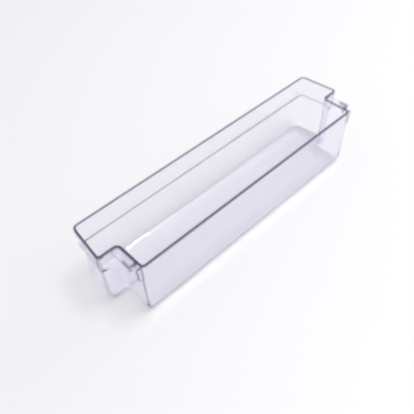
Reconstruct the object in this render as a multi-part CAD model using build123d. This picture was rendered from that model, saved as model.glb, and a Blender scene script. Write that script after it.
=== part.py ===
"""Clear moulded fridge door shelf.

One thin-walled tray. Its wide front part has splayed ends and a collar that stands out above a shoulder.
A step at each end leads to a narrower part that goes between the sides of the fridge door, and each end
of that part carries a hanger: a flange with a down-turned hook, and an ear behind it.

X runs along the shelf, Y from its front wall to the door, Z up. The underside of the floor is Z = 0.
Sizes are in millimetres, angles in degrees.
"""
import os
from math import atan2, cos, radians, tan

from build123d import *

# Outside sizes at the rim, to the sharp corners that the radii below round off
length = 480.0  # over the two ends, where they meet the steps
end_splay = 7.3  # how much further out each end is at its step than at the front wall
step_width = 30.0  # how far each end of the narrow part is set back from the step's corner
depth = 114.0  # front wall to rear wall
front_depth = 65.5  # front wall to the steps
height = 100.0

# Walls
wall = 3.0
draft_angle = 0.5  # each wall leans out by this much towards the rim
collar_height = 30.5  # rim to the shoulder
shoulder_height = 3.0
shoulder_width = 3.0  # how far the collar stands out from the wall below the shoulder
rim_round = 0.8

# Outside corner radii. Those in plan are the ones at Z = 0, and change upwards with the draft
front_corner = 7.5  # in plan, of the collar
front_corner_low = 10.0  # in plan, of the wall below the shoulder
step_corner = 5.0  # in plan, of the collar
step_corner_low = 8.5  # in plan, of the wall below the shoulder
step_hollow = 6.0  # in plan, the corner that turns in
rear_corner = 5.0  # in plan
floor_corner = 7.0  # between the walls and the floor

# Hanger at each narrow end
flange_drop = 1.2  # rim to the top of the flange
flange_reach = 11.2  # how far flange and hook stand out from the end wall
flange_thickness = 2.0
hook_drop = 0.2  # rim to the top of the hook
hook_height = 8.0
hook_length = 15.0
hook_wall = 2.5
hook_round = 1.5
ear_drop = 3.5  # rim to the top of the ear
ear_height = 23.0
ear_reach = 7.1  # how far the top of the ear stands out from the end wall
ear_reach_low = 5.2
ear_thickness = 2.0
ear_inset = 3.0  # how far the ear is in front of the rear wall's outer face
ear_round = 1.5
rib_slot = 6.0  # gap between hook and ear, for the rib on the door

x_front = length / 2 - end_splay
x_door = length / 2 - step_width
y_front = -depth / 2
y_step = y_front + front_depth
y_rear = depth / 2
splay = atan2(end_splay, front_depth)
shoulder_top = height - collar_height
shoulder_foot = shoulder_top - shoulder_height
collar_shape = 0, front_corner, step_corner  # stand-back, and the radii of two corners
low_shape = shoulder_width, front_corner_low, step_corner_low
inner_rise = wall * tan(atan2(shoulder_width, shoulder_height) / 2)  # keeps the wall's thickness round the bends


def rounded(corners):
    """Face with the given corners, each an x, a y and a radius."""
    points = [(x, y) for x, y, radius in corners]
    radii = [radius for x, y, radius in corners]
    return make_face(FilletPolyline(*points, radius=radii, close=True))


def plan(level, inset, stand_back, front_radius, step_radius):
    """Outline of the tray at a level, moved in by inset, its front and ends by stand_back more.

    The corners are rounded about the same upright centres at any inset, so that the wall keeps its thickness.
    """
    side = inset + (height - level) * tan(radians(draft_angle))
    swell = level * tan(radians(draft_angle)) - inset
    front = side + stand_back
    near = y_front + front
    far = y_rear - side
    middle = y_step - side

    def end(y):
        return x_front + (y - y_front) * tan(splay) - front / cos(splay)

    narrow = x_door - side
    half = [
        (end(near), near, front_radius + swell),
        (end(middle), middle, step_radius + swell),
        (narrow, middle, step_hollow - swell),
        (narrow, far, rear_corner + swell),
    ]
    return rounded(half + [(-x, y, radius) for x, y, radius in reversed(half)])


def block(top, bottom, inset, *shape):
    """Solid between two levels whose sides follow the outline of the given shape and the draft."""
    upright = extrude(Pos(0, 0, top) * plan(top, inset, *shape), amount=bottom - top)
    sides = upright.faces().filter_by(Plane.XY, reverse=True)
    return draft(sides, neutral_plane=Plane.XY.offset(top), angle=-draft_angle)


def moulded(inset, bottom):
    """The tray as a solid block down to a level, with its walls moved in by inset."""
    rise = inner_rise * inset / wall
    top, foot = shoulder_top + rise, shoulder_foot + rise
    collar = block(height, top, inset, *collar_shape)
    upper = Pos(0, 0, top) * plan(top, inset, *collar_shape)
    lower = Pos(0, 0, foot) * plan(foot, inset, *low_shape)
    shoulder = loft([lower, upper], ruled=True)
    body = block(foot, bottom, inset, *low_shape)
    body = fillet(body.faces().sort_by(Axis.Z)[0].edges(), floor_corner - inset)
    return collar + shoulder + body


tray = moulded(0, 0) - moulded(wall, wall)
tray = fillet(tray.faces().sort_by(Axis.Z)[-1].edges(), rim_round)


def hanger():
    """Flange, hook and ear on the end wall at positive X."""
    root = x_door - wall / 2
    tip = x_door + flange_reach
    flange_top = height - flange_drop
    hook_top = height - hook_drop
    ear_top = height - ear_drop
    ear_back = y_rear - ear_inset
    hook_back = ear_back - ear_thickness - rib_slot
    hook_front = hook_back - hook_length
    flange_front = y_step - wall / 2

    flange = rounded([
        (root, flange_front, step_hollow + wall / 2),
        (tip, flange_front, 0),
        (tip, hook_back, hook_round),
        (root, hook_back, 0),
    ])
    hook = rounded([
        (tip, hook_front, 0),
        (tip, hook_back, hook_round),
        (root, hook_back, 0),
        (root, hook_back - hook_wall, 0),
        (tip - hook_wall, hook_back - hook_wall, 0),
        (tip - hook_wall, hook_front, 0),
    ])
    ear = rounded([
        (root, ear_top - ear_height, 0),
        (x_door + ear_reach_low, ear_top - ear_height, ear_round),
        (x_door + ear_reach, ear_top, ear_round),
        (root, ear_top, 0),
    ])
    flange = extrude(Pos(0, 0, flange_top) * flange, amount=-flange_thickness)
    hook = extrude(Pos(0, 0, hook_top) * hook, amount=-hook_height)
    ear = extrude(Plane.XZ.offset(-ear_back) * ear, amount=ear_thickness)
    return flange + hook + ear


left_hanger = hanger()
shelf = tray + left_hanger + mirror(left_hanger, about=Plane.YZ)

os.makedirs("parts", exist_ok=True)
export_step(shelf, "parts/door_shelf.step")
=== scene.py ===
"""Looks of a clear moulded fridge door shelf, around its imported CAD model.

Sizes are in metres, in the CAD frame: X along the shelf, Y from its front wall to the door, Z up.
"""
from math import cos, sin

import bpy
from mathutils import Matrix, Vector


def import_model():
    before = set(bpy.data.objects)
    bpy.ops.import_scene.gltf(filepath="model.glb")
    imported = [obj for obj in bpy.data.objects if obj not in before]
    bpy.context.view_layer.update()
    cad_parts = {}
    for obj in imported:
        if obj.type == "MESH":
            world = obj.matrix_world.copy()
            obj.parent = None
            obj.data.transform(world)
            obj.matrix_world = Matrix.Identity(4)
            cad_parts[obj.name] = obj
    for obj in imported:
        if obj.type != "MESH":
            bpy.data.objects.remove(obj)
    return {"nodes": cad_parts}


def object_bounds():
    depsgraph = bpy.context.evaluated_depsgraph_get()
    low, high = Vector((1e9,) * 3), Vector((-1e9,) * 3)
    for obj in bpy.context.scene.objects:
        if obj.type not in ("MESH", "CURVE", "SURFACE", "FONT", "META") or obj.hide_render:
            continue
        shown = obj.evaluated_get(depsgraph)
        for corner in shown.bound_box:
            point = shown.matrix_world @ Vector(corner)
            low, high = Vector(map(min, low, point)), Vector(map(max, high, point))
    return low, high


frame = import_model()
cad_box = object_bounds()
scene = bpy.context.scene
rim_level = cad_box[1][2]

# Places on the ends and their hangers. X is the same at both ends but for its sign
splay_start = 0.2290  # X in the front corner's rounding, from which a face belongs to the splayed end
hanger_root = 0.2105  # X just outside the narrow end's wall
web_root = 0.2130  # X on the hook's web, which joins lip and end wall, up to which its tone is full
lip_inside = 0.2185  # X just inside the hook's lip
step_back = 0.0102  # Y just behind the step
hook_front = 0.0306  # Y just in front of the hook
web_front = 0.0434  # Y just in front of the web
web_back = 0.0470  # Y just behind the web, in the gap between hook and ear
ear_front = 0.0500  # Y in the same gap, a little in front of the ear
ear_edge = 0.2078  # X, carried down to Z = 0, of a line just inside the ear's outer edge
ear_lean = 0.0826  # how far that line leans out for each metre up

# Painted shade that fades downwards: to which depth below the rim it is full, at which it ends, and its
# strength
top_painted_shade = 0.0004, 0.0009, 1.0
side_painted_shade = 0.0006, 0.0045, 0.9
end_painted_shade = 0.0025, 0.0070, 0.85
web_painted_shade = 0.0020, 0.0080, 0.95
lip_painted_shade = 0.0030, 0.0085, 0.3

# Painted shade of other kinds
ear_painted_shade = 0.9
hanger_top = 0.8  # share of the rim's painted shade, on top of a hanger
web_tip = 0.15  # share of the web's painted shade, where the web meets the lip

# Plastic
# Dark violet of the shade painted on the edges
painted_shade_colour = 0.016, 0.010, 0.115, 1
tint_colour = 0.40, 0.37, 0.68, 1
edge_clearness = 0.12  # share of light let in where an edge has its full painted shade
edge_shade = 0.2  # share of a lamp's light that an edge lets through
wall_roughness = 0.06  # at most
edge_roughness = 0.35  # more than on the walls


def add_node(tree, kind, **values):
    """New node, with the given input sockets set to constants."""
    node = tree.nodes.new(kind)
    for name, value in values.items():
        node.inputs[name.replace("_", " ")].default_value = value
    return node


def ramp(tree, value, low, high, start=0.0, end=1.0):
    """Straight ramp of a value, from start at low to end at high, and level beyond them."""
    node = add_node(tree, "ShaderNodeMapRange", From_Min=low, From_Max=high, To_Min=start, To_Max=end)
    tree.links.new(value, node.inputs["Value"])
    return node.outputs["Result"]


def past(tree, value, place, over=0.0002):
    """1 where a coordinate is beyond a place and 0 before it, with a short ramp between."""
    return ramp(tree, value, place, place + over)


def before(tree, value, place, over=0.0002):
    """0 where a coordinate is beyond a place and 1 before it, with a short ramp between."""
    return ramp(tree, value, place, place + over, 1.0, 0.0)


def mixed(tree, share, start, end):
    """Number that goes straight from start to end as a share goes from 0 to 1."""
    return ramp(tree, share, 0.0, 1.0, start, end)


def fade(tree, up, full, gone, strength):
    """Painted shade with its full strength down to a depth below the rim, and gone at another."""
    return ramp(tree, up, rim_level - gone, rim_level - full, 0.0, strength)


def combine(tree, operation, first, *others):
    """Value joined with others, one after the other, by a kind of sum. The others are sockets or numbers."""
    result = first
    for other in others:
        node = tree.nodes.new("ShaderNodeMath")
        node.operation = operation
        tree.links.new(result, node.inputs[0])
        if isinstance(other, float):
            node.inputs[1].default_value = other
        else:
            tree.links.new(other, node.inputs[1])
        result = node.outputs["Value"]
    return result


def painted_edge_shade(tree, place, normal):
    """How much shade is painted on an edge: 1 on the rim's top, less on what adjoins it, and 0 on plain
    walls.

    The painted shade, a dark violet, stands in for the darkness of light caught in the plastic. The rim's
    painted shade fades out down the outer faces, and goes further down on the splayed ends. Web, lip and
    ear of the hangers have painted shade of their own.
    """
    parts = tree.nodes.new("ShaderNodeSeparateXYZ")
    tree.links.new(place, parts.inputs["Vector"])
    mirrored = combine(tree, "MULTIPLY", parts.outputs["X"], -1.0)
    along = combine(tree, "MAXIMUM", parts.outputs["X"], mirrored)
    across = parts.outputs["Y"]
    up = parts.outputs["Z"]
    lean = combine(tree, "SUBTRACT", along, combine(tree, "MULTIPLY", up, ear_lean))

    # Above 0 on the outer faces, whose normals point away from the shelf's middle
    outward = tree.nodes.new("ShaderNodeVectorMath")
    outward.operation = "DOT_PRODUCT"
    tree.links.new(place, outward.inputs[0])
    tree.links.new(normal, outward.inputs[1])
    outer = past(tree, outward.outputs["Value"], 0.001, over=0.003)

    hanger = combine(
        tree, "MULTIPLY",
        past(tree, along, hanger_root, over=0.0010),
        past(tree, across, step_back),
    )
    top = combine(tree, "MULTIPLY", fade(tree, up, *top_painted_shade), mixed(tree, hanger, 1.0, hanger_top))
    end_side = combine(
        tree, "MULTIPLY",
        past(tree, along, splay_start, over=0.0040),
        fade(tree, up, *end_painted_shade),
    )
    side = combine(
        tree, "MULTIPLY",
        outer,
        combine(tree, "MAXIMUM", fade(tree, up, *side_painted_shade), end_side),
        mixed(tree, hanger, 1.0, 0.0),
    )
    # Painted shade on the hooks' webs and lips, and on the ears' outer edges
    web = combine(
        tree, "MULTIPLY",
        hanger,
        past(tree, across, web_front),
        before(tree, across, web_back),
        ramp(tree, along, web_root, lip_inside, 1.0, web_tip),
        fade(tree, up, *web_painted_shade),
    )
    lip = combine(
        tree, "MULTIPLY",
        past(tree, along, lip_inside),
        past(tree, across, hook_front),
        fade(tree, up, *lip_painted_shade),
    )
    ear = combine(
        tree, "MULTIPLY",
        past(tree, lean, ear_edge),
        past(tree, across, ear_front),
        ear_painted_shade,
    )
    return combine(tree, "MAXIMUM", top, side, web, lip, ear)


def clear_plastic():
    """Clear polished plastic, whose violet tint deepens along the light's path; its dark edges are painted
    shade.

    Slow noise gives the waves of a moulded wall and its uneven polish, and the edges are duller. Lamps shine
    straight through, less what a polished face throws back: a twentieth of it head on, and all of it at a
    grazing angle.
    """
    material = bpy.data.materials.new("clear_plastic")
    material.use_nodes = True
    tree = material.node_tree
    tree.nodes.clear()
    link = tree.links.new
    out = tree.nodes.new("ShaderNodeOutputMaterial")
    coordinates = tree.nodes.new("ShaderNodeTexCoord")
    place = coordinates.outputs["Object"]

    # Sockets 6 and 7 of a colour mix are its two colours, and output 2 is the result
    # Painted shade: the edges are mixed toward a dark violet, in place of the darkness of light caught in the
    # plastic
    painted_shade = painted_edge_shade(tree, place, coordinates.outputs["Normal"])
    colour = tree.nodes.new("ShaderNodeMix")
    colour.data_type = "RGBA"
    colour.inputs[6].default_value = (1, 1, 1, 1)
    colour.inputs[7].default_value = painted_shade_colour
    link(painted_shade, colour.inputs["Factor"])

    polish = add_node(tree, "ShaderNodeTexNoise", Scale=70.0, Detail=3.0)
    link(place, polish.inputs["Vector"])
    uneven = mixed(tree, polish.outputs["Fac"], 0.0, wall_roughness)
    roughness = combine(tree, "ADD", uneven, combine(tree, "MULTIPLY", painted_shade, edge_roughness))
    waves = add_node(tree, "ShaderNodeTexNoise", Scale=22.0, Detail=1.0)
    link(place, waves.inputs["Vector"])
    bump = add_node(tree, "ShaderNodeBump", Strength=0.3, Distance=0.0003)
    link(waves.outputs["Fac"], bump.inputs["Height"])

    shader = add_node(tree, "ShaderNodeBsdfPrincipled", IOR=1.57)
    link(colour.outputs[2], shader.inputs["Base Color"])
    link(mixed(tree, painted_shade, 1.0, edge_clearness), shader.inputs["Transmission Weight"])
    link(roughness, shader.inputs["Roughness"])
    link(bump.outputs["Normal"], shader.inputs["Normal"])

    # What a lamp's light meets in place of the shader above
    facing = add_node(tree, "ShaderNodeLayerWeight", Blend=0.5)
    thrown_back = combine(tree, "POWER", facing.outputs["Facing"], 5.0)
    passed = combine(
        tree, "MULTIPLY", mixed(tree, thrown_back, 0.95, 0.0), mixed(tree, painted_shade, 1.0, edge_shade)
    )
    straight = tree.nodes.new("ShaderNodeBsdfTransparent")
    link(passed, straight.inputs["Color"])
    route = tree.nodes.new("ShaderNodeLightPath")
    surface = tree.nodes.new("ShaderNodeMixShader")
    link(route.outputs["Is Shadow Ray"], surface.inputs["Fac"])
    link(shader.outputs["BSDF"], surface.inputs[1])
    link(straight.outputs["BSDF"], surface.inputs[2])

    tint = add_node(tree, "ShaderNodeVolumeAbsorption", Color=tint_colour, Density=33.0)
    link(surface.outputs["Shader"], out.inputs["Surface"])
    link(tint.outputs["Volume"], out.inputs["Volume"])
    return material


shelf = frame["nodes"]["door_shelf"]
plastic = clear_plastic()
for material_slot in shelf.material_slots:
    material_slot.material = plastic

# Floor
half = 4.0  # of its width
gap = 0.0005  # under the shelf, so that their faces don't coincide
floor_mesh = bpy.data.meshes.new("floor")
floor_mesh.from_pydata(
    [(-half, -half, 0), (half, -half, 0), (half, half, 0), (-half, half, 0)], [], [(0, 1, 2, 3)]
)
floor = bpy.data.objects.new("floor", floor_mesh)
scene.collection.objects.link(floor)
floor_paint = bpy.data.materials.new("floor")
floor_paint.use_nodes = True
paint = floor_paint.node_tree.nodes["Principled BSDF"]
paint.inputs["Base Color"].default_value = (0.87, 0.87, 0.88, 1)
paint.inputs["Roughness"].default_value = 0.6
floor_mesh.materials.append(floor_paint)
floor.location.z = -gap

# Light
world = bpy.data.worlds.new("studio")
world.use_nodes = True
sky = world.node_tree.nodes["Background"]
sky.inputs["Color"].default_value = (0.98, 0.98, 1.0, 1)
sky.inputs["Strength"].default_value = 0.705
scene.world = world


def softbox(name, place, width, height, power, lights_floor=True):
    """Area light at a place, turned to the origin, with its width level.

    Its light comes through the plastic only as the material lets it pass, and not a second time by
    refraction. One that doesn't light the floor is there for a highlight alone.
    """
    lamp = bpy.data.lights.new(name, "AREA")
    lamp.shape = "RECTANGLE"
    lamp.size = width
    lamp.size_y = height
    lamp.energy = power
    holder = bpy.data.objects.new(name, lamp)
    holder.location = place
    holder.rotation_euler = (-Vector(place)).to_track_quat("-Z", "Y").to_euler()
    holder.visible_transmission = False
    holder.visible_diffuse = lights_floor
    scene.collection.objects.link(holder)


softbox("key", (-0.73, 0.27, 2.9), width=0.95, height=0.7, power=27)
softbox("back", (-1.19, 1.52, 2.3), width=1.8, height=1.8, power=9.7)
softbox("side", (-2.72, 0.0, 1.27), width=1.8, height=1.8, power=8.5)
softbox("glint", (-0.76, 0.62, 2.82), width=0.45, height=0.3, power=44, lights_floor=False)

# Camera, with the picture's own centre a little to the left of the lens's axis
heading, elevation = -0.795341, 0.841199
forward = Vector((sin(heading) * cos(elevation), -cos(heading) * cos(elevation), -sin(elevation)))
lens = bpy.data.cameras.new("camera")
lens.lens = 44.845
lens.sensor_width = 36.0
lens.shift_x = -0.05
camera = bpy.data.objects.new("camera", lens)
camera.location = (0.39148, 0.37705, 0.60477)
camera.rotation_euler = forward.to_track_quat("-Z", "Y").to_euler()
scene.collection.objects.link(camera)
scene.camera = camera

# Light goes through many walls, reflections stay sharp, and lines are as soft as in a small photo
scene.cycles.max_bounces = 64
scene.cycles.transmission_bounces = 64
scene.cycles.transparent_max_bounces = 32
scene.cycles.glossy_bounces = 32
scene.cycles.blur_glossy = 0.0
scene.cycles.filter_width = 3.0
scene.view_settings.view_transform = "Standard"
